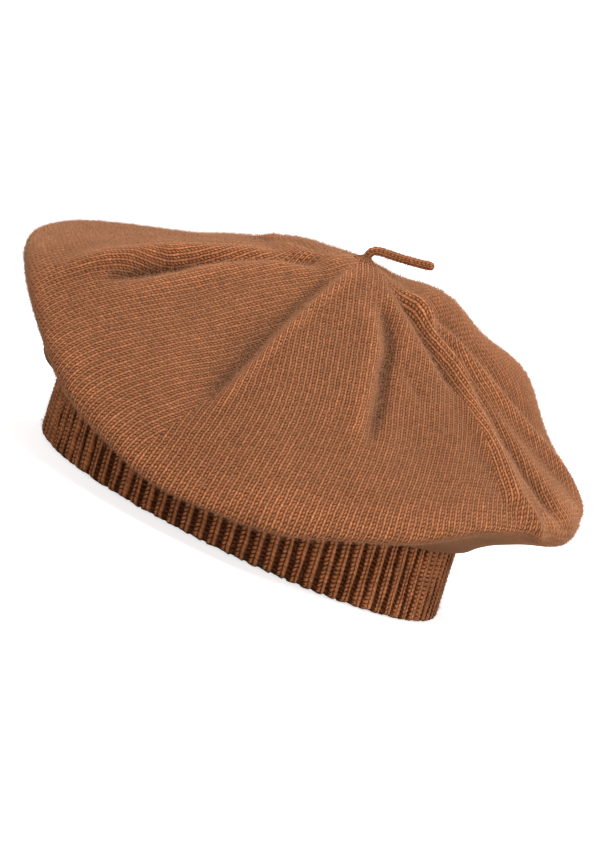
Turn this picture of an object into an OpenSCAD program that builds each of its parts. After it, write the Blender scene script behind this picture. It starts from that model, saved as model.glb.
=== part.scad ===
// Knitted beret: ribbed head band, slouched crown of four fashioned gores, bent cord stalk.
// Origin: centre of the head opening at the lower edge of the band. +Z up, -Y is the slouched front.
// Azimuths are degrees counter-clockwise from +X, seen from above. All sizes are in millimetres.

/* [Head band] */
// Inside radius of the ribbed band
band_r_in = 88; // [86:0.5:90]
// Thickness of the doubled rib
band_wall = 4.5; // [4:0.1:5]
// Height of the band
band_h = 35; // [33:1:38]
// Width of the slot between the two plies
ply_slot = 1; // [0.9:0.1:1.2]

/* [Crown] */
// Radius of the crown at its rim
rim_r = 132; // [128:1:135]
// Height of the crown's centre
apex_z = 126; // [120:1:130]
// Height of the rim's widest point on the slouched side
rim_front_z = 21.5; // [20:0.5:28]
// Height of the rim's widest point at both sides
rim_side_z = 71; // [66:1:74]
// Height of the rim's widest point at the back
rim_back_z = 80; // [76:1:86]
// How sharply the rim dips on the slouched side
rim_pinch = 7.8; // [5:0.1:9]
// Azimuth the crown slouches towards
slouch_az = 262; // [250:1:290]
// How far the cloth has fallen by a third of the way to the rim
centre_fall = 11; // [4:1:14]
// Thickness of the knit
knit = 2.6; // [2:0.1:3]
// How far each gore bellies out between its joins
gore_puff = 3; // [1:0.5:4]

/* [Stalk] */
// Radius of the knitted cord
cord_r = 1.8; // [1.4:0.05:1.95]
// Length of the cord past its bend
cord_len = 25; // [15:1:28]
// Upward slope of the cord past its bend
cord_rise = 9; // [4:1:15]

/* [Labels] */
// Width of the care label
care_label_w = 26; // [20:1:28]
// Height of the care label
care_label_h = 24; // [18:1:25]
// Width of the size label
size_label_w = 12; // [10:1:14]
// Height of the size label
size_label_h = 12; // [10:1:14]

/* [Hidden] */

camel = "#96603f";
camel_dark = "#7d4e33";
label_cream = "#e9e4da";
clear_yarn = "#d8d3cc";

round_fn = 96;
yarn_fn = 24;

// Band: two plies joined by a closed fold at the lower edge, open on top.
band_r_out = band_r_in + band_wall;
ply = (band_wall - ply_slot) / 2;
hem_h = 3;
slot_mid_r = band_r_in + ply + ply_slot / 2;
elastic_r = 0.35;
elastic_heights = [10, 20, 30];

// Yarn ring that links the band to the crown.
link_r = 0.9;
link_z = band_h + link_r + 0.15;
link_mid_r = band_r_in + band_wall / 2;

// Widening rounds just outside the band's top.
run_gap = 1;
brim_r_in = band_r_out + run_gap;
brim_w = 9.5;
brim_r_out = brim_r_in + brim_w;
brim_z = band_h - 4;

// Four fashioned joins, with the first one again to close the round.
join_az = [65, 160, 252, 325, 425];
gores = len(join_az) - 1;
join_gap = 0.6;
join_w = 3;
join_thick = 1.1;
join_drop = 0.5;
gore_r_start = 6.5;
gore_r_end = brim_r_out + knit + run_gap;
gore_end_z = brim_z + 1.5;
columns = 16;
top_rows = 13;
under_rows = 8;

// Height of the rim round the crown: a mean, a once-round dip, a twice-round curl and the pinch.
rim_mean_z = (rim_front_z + rim_back_z + 2 * rim_side_z) / 4;
rim_dip = (rim_back_z - rim_front_z) / 2 - rim_pinch;
rim_curl = (2 * rim_side_z - rim_front_z - rim_back_z) / 4;
rim_front_pull = 4;
fold_top = 13;
fold_under = 11;

// Crown centre and stalk.
close_r = 4;
close_tube_r = 1;
root_r = 2.5;
root_top_z = apex_z + 1;
root_len = 5.5;
knot_ring_r = 1.8;
knot_tube_r = 1.4;
play = 0.35;
stalk_pivot_z = root_top_z + cord_r + play;
cord_stand = 0.4;
cord_elbow = 3;

// Labels stand on the linking seam inside the back of the band.
label_y = 86;
label_leaf = 0.4;
label_pivot_z = link_z;
label_lift = 0.4;
stitch_r = 0.3;
size_label_x = 26;

// ---- crown surface ----

function bezier(a, b, c, d, t) =
    a * pow(1 - t, 3) + 3 * b * t * pow(1 - t, 2) + 3 * c * t * t * (1 - t) + d * pow(t, 3);

function turn(az) = az - slouch_az;

function rim_z(az) =
    rim_mean_z - rim_dip * cos(turn(az)) - rim_curl * cos(2 * turn(az)) - rim_pinch * cos(3 * turn(az));

function rim_radius(az) = rim_r - rim_front_pull * (1 + cos(turn(az))) / 2;

// Meridian in (radius, height): u is 0 at the centre, 1 at the rim, 2 where the gore ends.
function meridian(az, u) =
    let (r = rim_radius(az), z = rim_z(az))
    u <= 1
        ? bezier([gore_r_start, apex_z], [0.33 * r, apex_z - centre_fall], [r, z + fold_top], [r, z], u)
        : bezier([r, z], [r, z - fold_under], [gore_r_end + 9, (z + gore_end_z) / 2 - 8],
                 [gore_r_end, gore_end_z], u - 1);

// Unit normal of the meridian, pointing out of the crown.
function outward(az, u) =
    let (step = 0.01, d = meridian(az, min(2, u + step)) - meridian(az, max(0, u - step)))
    [-d[1], d[0]] / norm(d);

// Point of the crown at an azimuth and share, raised along the normal.
function crown_point(az, u, raise) =
    let (p = meridian(az, u) + outward(az, u) * raise)
    [p[0] * cos(az), p[0] * sin(az), p[1]];

// Point of gore k at share t of its width.
function gore_point(k, t, u, depth) =
    let (a = join_az[k], b = join_az[k + 1],
         edge = asin(join_gap / 2 / meridian((a + b) / 2, u)[0]),
         az = a + edge + t * (b - a - 2 * edge),
         belly = gore_puff * (1 - pow(abs(2 * t - 1), 4)) * sin(90 * min(1, 2 * u, 2 * (2 - u))))
    crown_point(az, u, belly - depth);

// Point of join k at share t of its width, under the gores' inner faces.
function join_point(k, t, u, depth) =
    crown_point(join_az[k] + (t - 0.5) * 2 * asin(join_w / 2 / meridian(join_az[k], u)[0]), u,
                -knit - join_drop - depth);

function row_share(j) = j <= top_rows ? j / top_rows : 1 + (j - top_rows) / under_rows;

// Closed solid between a grid of outer points and a grid of inner points.
module shell(outer, inner) {
    m = len(outer) - 1;
    n = len(outer[0]) - 1;
    w = n + 1;
    half = (m + 1) * w;
    skins = [for (i = [0 : m - 1], j = [0 : n - 1])
        let (a = i * w + j, b = a + 1, c = a + w + 1, d = a + w)
        each [[a, b, c], [a, c, d], [half + a, half + c, half + b], [half + a, half + d, half + c]]];
    border = concat([for (j = [0 : n - 1]) j], [for (i = [0 : m - 1]) i * w + n],
                    [for (j = [n : -1 : 1]) m * w + j], [for (i = [m : -1 : 1]) i * w]);
    walls = [for (i = [0 : len(border) - 1])
        let (a = border[i], b = border[(i + 1) % len(border)])
        each [[a, half + a, b], [b, half + a, half + b]]];
    polyhedron(points = concat([for (c = outer) each c], [for (c = inner) each c]),
               faces = concat(skins, walls));
}

module crown_gore(k) {
    rows = top_rows + under_rows;
    color(camel)
    shell([for (i = [0 : columns]) [for (j = [0 : rows]) gore_point(k, i / columns, row_share(j), 0)]],
          [for (i = [0 : columns]) [for (j = [0 : rows]) gore_point(k, i / columns, row_share(j), knit)]]);
}

// Thick strips of fashioning yarn that lie under the joins.
module gore_joins() {
    rows = top_rows + under_rows - 1;
    color(camel_dark)
    for (k = [0 : gores - 1])
        shell([for (i = [0 : 2]) [for (j = [0 : rows]) join_point(k, i / 2, row_share(j), 0)]],
              [for (i = [0 : 2]) [for (j = [0 : rows]) join_point(k, i / 2, row_share(j), join_thick)]]);
}

// ---- band ----

module headband() {
    color(camel_dark)
    difference() {
        cylinder(h = band_h, r = band_r_out, $fn = round_fn);
        translate([0, 0, -1])
            cylinder(h = band_h + 2, r = band_r_in, $fn = round_fn);
        translate([0, 0, hem_h])
            difference() {
                cylinder(h = band_h, r = slot_mid_r + ply_slot / 2, $fn = round_fn);
                translate([0, 0, -1])
                    cylinder(h = band_h + 2, r = slot_mid_r - ply_slot / 2, $fn = round_fn);
            }
    }
}

module yarn_ring(ring_r, tube_r, z) {
    translate([0, 0, z])
        rotate_extrude($fn = round_fn)
            translate([ring_r, 0])
                circle(r = tube_r, $fn = yarn_fn);
}

module elastic_yarns() {
    color(clear_yarn)
    for (z = elastic_heights)
        yarn_ring(slot_mid_r, elastic_r, z);
}

module linking_seam() {
    color(camel_dark)
    yarn_ring(link_mid_r, link_r, link_z);
}

module under_brim() {
    color(camel)
    translate([0, 0, brim_z])
        difference() {
            cylinder(h = knit, r = brim_r_out, $fn = round_fn);
            translate([0, 0, -1])
                cylinder(h = knit + 2, r = brim_r_in, $fn = round_fn);
        }
}

// ---- crown centre ----

module closing_ring() {
    color(camel_dark)
    yarn_ring(close_r, close_tube_r, apex_z - knit / 2);
}

// Short stitches from the closing ring to the gores.
module tack_stitches() {
    count = 8;
    gap = 0.12;
    edge_lean = 0.5;
    start = close_r + close_tube_r + gap;
    color(camel_dark)
    for (i = [0 : count - 1])
        rotate([0, 0, (i + 0.5) * 360 / count])
            translate([start, 0, apex_z - knit / 2])
                rotate([0, 90, 0])
                    cylinder(h = gore_r_start - edge_lean - gap - start, r = stitch_r, $fn = yarn_fn);
}

module stalk_root() {
    color(camel)
    translate([0, 0, root_top_z - root_len])
        cylinder(h = root_len, r = root_r, $fn = yarn_fn);
}

module anchor_knot() {
    color(camel_dark)
    yarn_ring(knot_ring_r, knot_tube_r, root_top_z - root_len - knot_tube_r - 0.1);
}

module stalk() {
    rise = cord_stand + cord_elbow;
    color(camel)
    translate([0, 0, stalk_pivot_z]) {
        sphere(r = cord_r, $fn = yarn_fn);
        cylinder(h = rise, r = cord_r, $fn = yarn_fn);
        translate([0, 0, rise]) {
            sphere(r = cord_r, $fn = yarn_fn);
            rotate([0, 90 - cord_rise, 0]) {
                cylinder(h = cord_len, r = cord_r, $fn = yarn_fn);
                translate([0, 0, cord_len])
                    sphere(r = cord_r, $fn = yarn_fn);
            }
        }
    }
}

// ---- labels ----

// Folded tape standing on its two raw edges, the fold on top.
module folded_label(x, w, h) {
    fold_r = 1.5 * label_leaf;
    color(label_cream)
    translate([x - w / 2, label_y, label_pivot_z + label_lift])
        rotate([90, 0, 90])
            linear_extrude(height = w) {
                translate([-fold_r, 0])
                    square([label_leaf, h - fold_r]);
                translate([fold_r - label_leaf, 0])
                    square([label_leaf, h - fold_r]);
                translate([0, h - fold_r])
                    difference() {
                        circle(r = fold_r, $fn = yarn_fn);
                        circle(r = fold_r - label_leaf, $fn = yarn_fn);
                        translate([-2, -2])
                            square([4, 2]);
                    }
            }
}

module care_label() {
    folded_label(0, care_label_w, care_label_h);
}

module size_label() {
    rotate([0, 0, -size_label_x])
        folded_label(0, size_label_w, size_label_h);
}

module stitch_row(w, count) {
    start = label_y + 1;
    stop = link_mid_r - link_r - 1;
    for (i = [0 : count - 1])
        translate([(i / (count - 1) - 0.5) * w, start, label_pivot_z])
            rotate([-90, 0, 0])
                cylinder(h = stop - start, r = stitch_r, $fn = yarn_fn);
}

module label_stitches() {
    color(camel_dark) {
        stitch_row(care_label_w - 4, 5);
        rotate([0, 0, -size_label_x])
            stitch_row(size_label_w - 4, 3);
    }
}

headband();
elastic_yarns();
linking_seam();
label_stitches();
under_brim();
crown_gore(0);  // crown_gore_1
crown_gore(1);  // crown_gore_2
crown_gore(2);  // crown_gore_3
crown_gore(3);  // crown_gore_4
gore_joins();
closing_ring();
tack_stitches();
stalk_root();
anchor_knot();
stalk();
care_label();
size_label();
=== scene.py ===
import bpy
import math
import numpy as np
from mathutils import Matrix, Vector


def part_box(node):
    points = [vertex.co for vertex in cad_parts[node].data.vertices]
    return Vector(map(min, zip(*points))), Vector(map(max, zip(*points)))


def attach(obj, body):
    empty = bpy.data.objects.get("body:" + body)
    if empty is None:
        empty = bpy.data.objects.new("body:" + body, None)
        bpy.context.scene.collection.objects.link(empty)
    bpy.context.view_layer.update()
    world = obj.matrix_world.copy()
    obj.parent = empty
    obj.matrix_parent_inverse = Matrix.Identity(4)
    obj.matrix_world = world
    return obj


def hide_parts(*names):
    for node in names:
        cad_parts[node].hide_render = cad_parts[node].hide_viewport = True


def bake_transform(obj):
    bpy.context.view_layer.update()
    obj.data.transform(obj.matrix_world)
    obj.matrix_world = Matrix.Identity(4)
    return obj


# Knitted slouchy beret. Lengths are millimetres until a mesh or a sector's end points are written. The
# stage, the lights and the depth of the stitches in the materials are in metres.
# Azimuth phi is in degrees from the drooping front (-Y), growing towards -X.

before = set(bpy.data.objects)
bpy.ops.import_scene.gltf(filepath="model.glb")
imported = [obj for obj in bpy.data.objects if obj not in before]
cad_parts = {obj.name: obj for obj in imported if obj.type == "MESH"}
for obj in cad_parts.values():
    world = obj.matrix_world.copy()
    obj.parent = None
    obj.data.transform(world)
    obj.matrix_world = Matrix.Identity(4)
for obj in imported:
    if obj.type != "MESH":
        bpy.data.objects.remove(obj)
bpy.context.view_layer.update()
MM = 0.001

# ---- sizes ----

BAND_R_IN = 88.0
BAND_R_OUT = 92.5
BAND_H = 35.0
SLOT_IN = 89.75             # the gap between the band's two plies, where the elastic runs
SLOT_OUT = 90.75
BAND_LEAN = -5.5            # the band's top leans this far along X
APEX_Z = 126.0
APEX_R = 5.6
# How the soft rim hangs: azimuth, radius, height, fullness above and below it, and fall near the centre.
RIM = [
    (-10, 131, 25, 19, 8, 16),
    (15, 131, 20.5, 20, 8, 16),
    (45, 132, 43, 18, 9, 15),
    (70, 133, 66, 13, 9, 13),
    (90, 135, 73, 10, 14, 15),
    (112, 134, 75, 7, 16, 14),
    (138, 133, 74, 11, 13, 10),
    (175, 131, 80, 14, 13, 8),
    (220, 131, 78, 13, 13, 8),
    (260, 128, 70, 8, 12, 9),
    (287, 130.5, 63, 9, 6, 9),
    (309, 131, 57, 11, 5, 11),
    (330, 131, 39, 16, 8, 15),
]
SAG = 1.0                   # how far the underside sags below a straight line
GORE_END_R = 101.0          # where the crown's underside meets the rounds at the band
GORE_END_Z = 31.0
GORE_END_LIFT = 5.0         # the underside starts this much higher on the right and at the back
BAND_TOP_R = 91.3           # where the rounds meet the band
SECTORS = 12                # the underside is made in equal sectors
RIM_R_LEAST = 124.0         # the crown's pieces end outside this radius
GORE_WRAP = 0.16            # share of the underside that the gores reach round to
KNIT = 2.2                  # thickness of the knit
SEAMS = [17.5, 110.0, 205.0, 305.0]    # azimuths of the joins
GRAIN = [50.0, 157.0, 298.0, 346.0]    # azimuth that each gore's stitch columns run along near the centre
GORE_NAMES = ["left", "back", "right", "front"]
GORE_NODES = ["crown_gore_2", "crown_gore_1", "crown_gore_4", "crown_gore_3"]

COLUMNS = 720               # columns of points round the crown
TOP_ROWS = 112              # rows of points from the centre to the rim
UNDER_ROWS = 38             # rows from the rim to the rounds
ROW_STEP = 1.3              # usual distance between the crown's rows of points
WALES = 292                 # stitch columns that the gores widen towards
RIM_WALES = 283             # stitch columns at the rim and under it
WALE_FULL_R = 119.0         # radius where the gores reach their full number of columns
WALE_WIDTH = 2.8            # width of one stitch column near the rim
COURSE = 1.87               # height of one course
CAVITY_REACH = 5.0          # blur that ridges and creases are measured against
RIBS = 90                   # knit columns round the band
RIB_STEPS = RIBS * 12       # columns of points round the band
FUZZ_PER_GORE = 45000       # loose fibres on one gore
BAND_FUZZ = 16000           # on the band
STALK_FUZZ = 900            # on the stalk
FUZZ_LENGTH = 1.7           # usual length of a loose fibre
FUZZ_R = 0.065              # radius at its root
CORD_R = 1.78               # radius of the stalk
CORD_COURSE = 1.7           # height of one of its courses
LABEL_Y = 86.0              # distance of the labels from the band's axis
LEAF_POINTS = 9             # points along one leaf of a label
FOLD_STEPS = 6              # steps over its fold
FOLD_H = 0.8                # height of its fold
TAPE_THICK = 0.14
SIZE_LABEL_TURN = 26        # degrees from the care label to the size label, towards +X
VIEW_H = 372.103            # height that the camera's picture covers at the middle of the hat


def smooth(x, a, b):
    """0 below a, 1 above b, and a soft step between them."""
    t = np.clip((x - a) / (b - a), 0, 1)
    return t * t * (3 - 2 * t)


def wrap(a):
    """Degrees brought into -180..180."""
    return (a + 180.0) % 360.0 - 180.0


def hump(d, width):
    """Round bump, 1 at d = 0."""
    return np.exp(-(d / width) ** 2)


def cusp(d, width):
    """Pointed bump, about 1 at d = 0, for creases."""
    return np.exp(-np.sqrt((d / width) ** 2 + 0.15) + 0.387)


def window(s, a, b, c, d):
    """Rises from a to b and falls from c to d."""
    return smooth(s, a, b) * (1 - smooth(s, c, d))


def unit(v):
    """Vectors scaled to length 1."""
    return v / np.maximum(np.linalg.norm(v, axis=-1, keepdims=True), 1e-9)


def turned(points, degrees):
    """Points turned clockwise about the hat's axis, seen from above."""
    a = math.radians(degrees)
    out = points.copy()
    out[..., 0] = points[..., 0] * math.cos(a) + points[..., 1] * math.sin(a)
    out[..., 1] = -points[..., 0] * math.sin(a) + points[..., 1] * math.cos(a)
    return out


# ---- crown surface ----

def rim_at(phi):
    """Radius, height, fullnesses and fall at an azimuth: a smooth closed curve through RIM."""
    angles = np.array([row[0] for row in RIM], dtype=float)
    values = np.array([row[1:] for row in RIM], dtype=float)
    n = len(angles)
    phi = (phi - angles[0]) % 360 + angles[0]
    k = int(np.searchsorted(angles, phi, side="right")) - 1
    around = [angles[(k + i) % n] + 360 * ((k + i) // n) for i in (-1, 0, 1, 2)]
    p = [values[(k + i) % n] for i in (-1, 0, 1, 2)]
    span = around[2] - around[1]
    t = (phi - around[1]) / span
    m1 = (p[2] - p[0]) / (around[2] - around[0]) * span
    m2 = (p[3] - p[1]) / (around[3] - around[1]) * span
    h = 3 * t * t - 2 * t ** 3
    return p[1] * (1 - h) + p[2] * h + m1 * (t ** 3 - 2 * t * t + t) + m2 * (t ** 3 - t * t)


def bezier(a, b, c, d, t):
    """Cubic curve through a and d, drawn towards b and c."""
    return a * (1 - t) ** 3 + 3 * b * t * (1 - t) ** 2 + 3 * c * t * t * (1 - t) + d * t ** 3


def meridian(phi, shares):
    """Radius and height along one meridian at arc-length shares 0..1 (top) and 1..2 (underside)."""
    r, z, above, below, fall = rim_at(phi)
    t = np.linspace(0, 1, 161)
    top_r = bezier(APEX_R, 0.33 * r, r, r, t)
    top_z = bezier(APEX_Z, APEX_Z - fall, z + above, z, t)
    end_z = GORE_END_Z + GORE_END_LIFT * hump(wrap(phi + 110), 75.0)
    low_r = bezier(r, r, GORE_END_R + 11, GORE_END_R, t)
    low_z = bezier(z, z - below, (z + end_z) / 2 - SAG, end_z, t)
    out_r = np.empty(len(shares))
    out_z = np.empty(len(shares))
    lengths = []
    for rr, zz, lo in ((top_r, top_z, 0.0), (low_r, low_z, 1.0)):
        arc = np.concatenate([[0], np.cumsum(np.hypot(np.diff(rr), np.diff(zz)))])
        lengths.append(arc[-1])
        use = (shares >= lo) & (shares <= lo + 1)
        out_r[use] = np.interp((shares[use] - lo) * arc[-1], arc, rr)
        out_z[use] = np.interp((shares[use] - lo) * arc[-1], arc, zz)
    return out_r, out_z, lengths


def folds(phi, s, r):
    """Height of the folds over the plain crown, and their sideways roll."""
    out = np.zeros_like(s)
    roll = np.zeros_like(s)

    def across(*path):
        """Distance across a line through (share, azimuth) points, positive towards larger azimuths."""
        line = np.interp(s, [q[0] for q in path], [q[1] for q in path])
        return wrap(phi - line) * np.pi / 180 * np.maximum(r, 12)

    def mound(azimuth, share, width):
        """Round swelling about a point."""
        return hump(np.hypot(across((0, azimuth)), (s - share) * 140), width)

    # Long fold on the left: a deep crease under a lip that rolls forward over it.
    d = across((0.1, 66), (0.25, 73), (0.4, 69), (0.55, 64), (0.7, 61.5), (0.9, 61))
    env = window(s, 0.05, 0.22, 0.55, 0.82)
    out -= env * (8.5 * cusp(d, 2.8) + 2.0 * hump(d, 11))
    out += env * 1.5 * hump(d + 11, 6)
    d = across((0.1, 74), (0.3, 77), (0.5, 73), (0.7, 69.5), (0.9, 68))
    lip = window(s, 0.1, 0.35, 0.75, 1.0) * hump(d, 7)
    out += 4.2 * lip
    roll -= 4.5 * lip
    out += 1.5 * window(s, 0.25, 0.5, 1.0, 1.3) * hump(across((0, 112)), 16)
    # Small fold that runs back from the centre, and the swelling behind it.
    out += 1.2 * window(s, 0.03, 0.12, 0.3, 0.42) * hump(across((0.08, 60), (0.16, 88), (0.32, 122)), 6)
    out += 4.5 * mound(128, 0.25, 19)
    # Join between the left and front gores: the left one tucks under the front one.
    d = across((0, SEAMS[0]))
    env = window(s, 0.03, 0.13, 0.62, 0.8)
    out += env * (3.2 * hump(d + 1.8, 2.8) - 0.9 * hump(d - 3.5, 3.5) - 1.8 * hump(d - 10, 11))
    out -= 1.5 * mound(31, 0.56, 22)
    # Soft valley down the front gore with a low ridge on its left.
    d = across((0.15, -31), (0.33, -29.5), (0.41, -26), (0.6, -22), (0.75, -20.5))
    env = window(s, 0.1, 0.3, 0.52, 0.78)
    out += env * (2.0 * hump(d - 6, 5) - 3.8 * hump(d + 1, 4.2))
    out -= 1.1 * window(s, 0.32, 0.42, 0.48, 0.58) * hump(across((0.42, -36.5), (0.52, -40)), 3.4)
    # Join between the front and right gores, drawn in between two low ridges.
    d = across((0, SEAMS[3]))
    env = window(s, 0.05, 0.18, 0.4, 0.58)
    out += env * (1.8 * hump(d + 6, 4) + 1.2 * hump(d - 6, 4.5) - 3.8 * cusp(d, 2.2))
    # Two long ridges down the right side and the hollow between them.
    d = across((0.1, -68), (0.26, -64), (0.44, -62.5), (0.57, -59), (0.7, -57), (0.9, -57), (1.05, -64),
               (1.2, -72))
    out += 3.5 * window(s, 0.08, 0.25, 0.9, 1.15) * hump(d - 1.8, 5.5)
    out += 2.4 * window(s, 0.5, 0.7, 0.95, 1.2) * hump(d, 7)
    out += 4.5 * hump(np.hypot(across((0, -75)), (s - 1.12) * 110), 21)
    d = across((0.3, -69), (0.55, -68.5), (0.75, -69.5), (1.0, -72))
    out -= 5.4 * window(s, 0.14, 0.34, 0.85, 1.05) * hump(d, 5)
    d = across((0.08, -60), (0.2, -68), (0.34, -78), (0.46, -81), (0.6, -82), (0.75, -85), (1.0, -90))
    out += 5.6 * window(s, 0.06, 0.25, 0.8, 1.12) * hump(d, 5.5)
    # Deep valley behind the second ridge.
    d = across((0.1, -108), (0.2, -104), (0.35, -101), (0.8, -101), (1.0, -103))
    out -= window(s, 0.08, 0.25, 0.8, 1.0) * (9.0 * cusp(d, 5.5) + 1.5 * hump(d, 12))
    # Two lobes behind it, one near the centre and one near the rim.
    out += 10.5 * mound(-128, 0.33, 24)
    out += 12.0 * mound(-118, 0.64, 24)
    # Soft folds round the back.
    out += 2.5 * window(s, 0.3, 0.6, 1.0, 1.3) * hump(across((0, 140)), 13)
    out -= 3.0 * window(s, 0.3, 0.6, 0.9, 1.1) * hump(across((0, 165)), 8)
    out -= 2.6 * window(s, 0.1, 0.3, 0.7, 0.95) * cusp(across((0, 205)), 4)
    out += 2.0 * window(s, 0.4, 0.7, 1.0, 1.3) * hump(across((0, -170)), 10)
    out -= 2.0 * window(s, 0.05, 0.2, 0.6, 0.9) * cusp(across((0, 110)), 3)
    # Slight unevenness of the soft knit.
    a = np.radians(phi)
    wob = 0.6 * np.sin(5 * a + 3 * s) + 0.5 * np.sin(9 * a - 5 * s + 1) + 0.4 * np.sin(14 * a + 7 * s + 2)
    out += wob * window(s, 0.2, 0.5, 1.4, 1.8)
    return out, roll


def crown_grid():
    """Columns' azimuths, rows' shares, points, radii, arc lengths and relief of the whole crown."""
    theta = np.arange(COLUMNS + 1) * 360.0 / COLUMNS
    top = np.linspace(0, 1, TOP_ROWS + 1)
    low = np.linspace(1, 2, UNDER_ROWS + 1)[1:]
    s = np.concatenate([top, low])
    n = len(s)
    r = np.empty((COLUMNS + 1, n))
    z = np.empty((COLUMNS + 1, n))
    arc = np.empty((COLUMNS + 1, n))
    drift = 5.0 * smooth(s, 0.5, 1.0) * (1 - smooth(s, 1.2, 2.0))
    phi = theta[:, None] + drift[None, :] * (1 + np.cos(np.radians(theta - 10)))[:, None] / 2
    for i in range(COLUMNS + 1):
        r[i], z[i], lengths = meridian(theta[i], s)
        arc[i] = np.where(s <= 1, s * lengths[0], lengths[0] + (s - 1) * lengths[1])
    ang = np.radians(phi)
    base = np.stack([-r * np.sin(ang), -r * np.cos(ang), z], axis=2)
    normal = grid_normals(base)
    height, roll = folds(phi, np.broadcast_to(s, phi.shape), r)
    side = np.stack([-np.cos(ang), np.sin(ang), np.zeros_like(ang)], axis=2)
    points = base + normal * height[..., None] + side * roll[..., None]
    points[..., 0] += BAND_LEAN * smooth(s, 1.1, 2.0)[None, :]
    return theta, s, points, r, arc, cavity(points, r)


def cavity(points, r):
    """How far the surface stands out: positive on ridges, negative in creases."""
    return above_blur(points, r, CAVITY_REACH) + 0.35 * above_blur(points, r, 2.4 * CAVITY_REACH)


def above_blur(points, r, blur):
    """Height of the surface above its own shape blurred by so many millimetres."""
    ring = points[:-1]
    count = np.fft.fftfreq(COLUMNS, 1.0 / COLUMNS)[:, None, None]
    spread = blur / np.maximum(r.mean(axis=0), 8)[None, :, None]
    soft = np.fft.ifft(np.fft.fft(ring, axis=0) * np.exp(-(count * spread) ** 2 / 2), axis=0).real
    reach = int(2.5 * blur / ROW_STEP)
    kernel = np.exp(-(np.arange(-reach, reach + 1) * ROW_STEP / blur) ** 2 / 2)
    kernel /= kernel.sum()
    padded = np.pad(soft, ((0, 0), (reach, reach), (0, 0)), "reflect", reflect_type="odd")
    rows = soft.shape[1]
    soft = sum(weight * padded[:, k:k + rows] for k, weight in enumerate(kernel))
    soft = np.concatenate([soft, soft[:1]])
    return np.sum((points - soft) * grid_normals(points), axis=2)


def grid_normals(p):
    """Outward unit normals of a closed round grid [column, row, xyz]; last column repeats the first."""
    q = p[:-1]
    across = np.roll(q, -1, axis=0) - np.roll(q, 1, axis=0)
    along = np.gradient(q, axis=1)
    n = np.cross(across, along)
    n /= np.linalg.norm(n, axis=2, keepdims=True) + 1e-12
    n = np.concatenate([n, n[:1]], axis=0)
    if np.dot(n[0, 3], [0, 0, 1]) < 0:
        n = -n
    return n


def knit_coordinates(theta, grain, s, r, arc):
    """Stitch column and course numbers of one gore: columns run nearly parallel, then fan out."""
    gap = (theta - grain)[:, None]
    grown = r / WALE_FULL_R
    grown = grown / (1 + grown ** 8) ** 0.125
    near_rim = smooth(s, 0.8, 1.0)[None, :]
    grown = grown * (1 - near_rim) + RIM_WALES / WALES * near_rim
    u = WALES * gap / 360 * grown + RIM_WALES * grain / 360
    lean = np.radians(gap) * r / np.maximum(arc + APEX_R, 1)
    v = (arc + APEX_R) * np.cos(lean * (1 - smooth(s, 0.5, 1.0))[None, :]) / COURSE
    return np.stack([u, v], axis=2)


# ---- mesh helpers ----

def add_object(name, data):
    """A new object in the scene."""
    obj = bpy.data.objects.new(name, data)
    bpy.context.scene.collection.objects.link(obj)
    return obj


def add_mesh(name, verts, faces, material, uv, per_corner=False):
    """A new smooth object from millimetre points, with one (u, v) for each point or face corner."""
    mesh = bpy.data.meshes.new(name)
    mesh.from_pydata((np.asarray(verts) * MM).tolist(), [], faces)
    mesh.update()
    mesh.polygons.foreach_set("use_smooth", [True] * len(mesh.polygons))
    layer = mesh.uv_layers.new(name="knit")
    uv = np.asarray(uv, dtype=np.float32)
    if not per_corner:
        index = np.empty(len(mesh.loops), dtype=np.int32)
        mesh.loops.foreach_get("vertex_index", index)
        uv = uv[index]
    layer.data.foreach_set("uv", uv.ravel())
    mesh.materials.append(material)
    return add_object(name, mesh)


def fit(obj, slot, body, *nodes):
    """Attaches a piece to its body and hides the CAD nodes that it stands for; slot is not used."""
    if nodes:
        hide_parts(*nodes)
    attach(obj, body)


def grid_faces(m, n, offset=0, flip=False):
    """Quads of an m by n grid of points stored column by column."""
    out = []
    for i in range(m - 1):
        for j in range(n - 1):
            a = offset + i * n + j
            quad = (a, a + n, a + n + 1, a + 1)
            out.append(quad[::-1] if flip else quad)
    return out


def thick_sheet(name, outer, inner, uv, material):
    """Closed shell between two grids of points [column, row, xyz]."""
    m, n = outer.shape[:2]
    half = m * n
    verts = np.concatenate([outer.reshape(-1, 3), inner.reshape(-1, 3)])
    faces = grid_faces(m, n) + grid_faces(m, n, half, True)
    rim = [(i, 0) for i in range(m)] + [(m - 1, j) for j in range(1, n)]
    rim += [(i, n - 1) for i in range(m - 2, -1, -1)] + [(0, j) for j in range(n - 2, 0, -1)]
    edge = [i * n + j for i, j in rim]
    for a, b in zip(edge, edge[1:] + edge[:1]):
        faces.append((b, a, half + a, half + b))
    coords = np.concatenate([uv.reshape(-1, 2), uv.reshape(-1, 2)])
    return add_mesh(name, verts, faces, material, coords)


def revolve(name, profile, columns, shape, uv_of, material):
    """Closed ring of a closed profile loop [(r, z)]; shape(angle, r, z, k) gives each point."""
    k = len(profile)
    angles = np.arange(columns) * 2 * np.pi / columns
    verts = np.empty((columns, k, 3))
    coords = np.empty((columns + 1, k + 1, 2))
    for j, (r, z) in enumerate(profile):
        verts[:, j] = shape(angles, r, z, j)
    for j in range(k + 1):
        coords[:, j] = uv_of(np.arange(columns + 1) / columns, j)
    faces = []
    face_uv = []
    for i in range(columns):
        for j in range(k):
            a = i * k + j
            b = ((i + 1) % columns) * k + j
            c = ((i + 1) % columns) * k + (j + 1) % k
            d = i * k + (j + 1) % k
            faces.append((a, b, c, d))
            face_uv += [coords[i, j], coords[i + 1, j], coords[i + 1, j + 1], coords[i, j + 1]]
    return add_mesh(name, verts.reshape(-1, 3), faces, material, face_uv, True)


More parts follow.
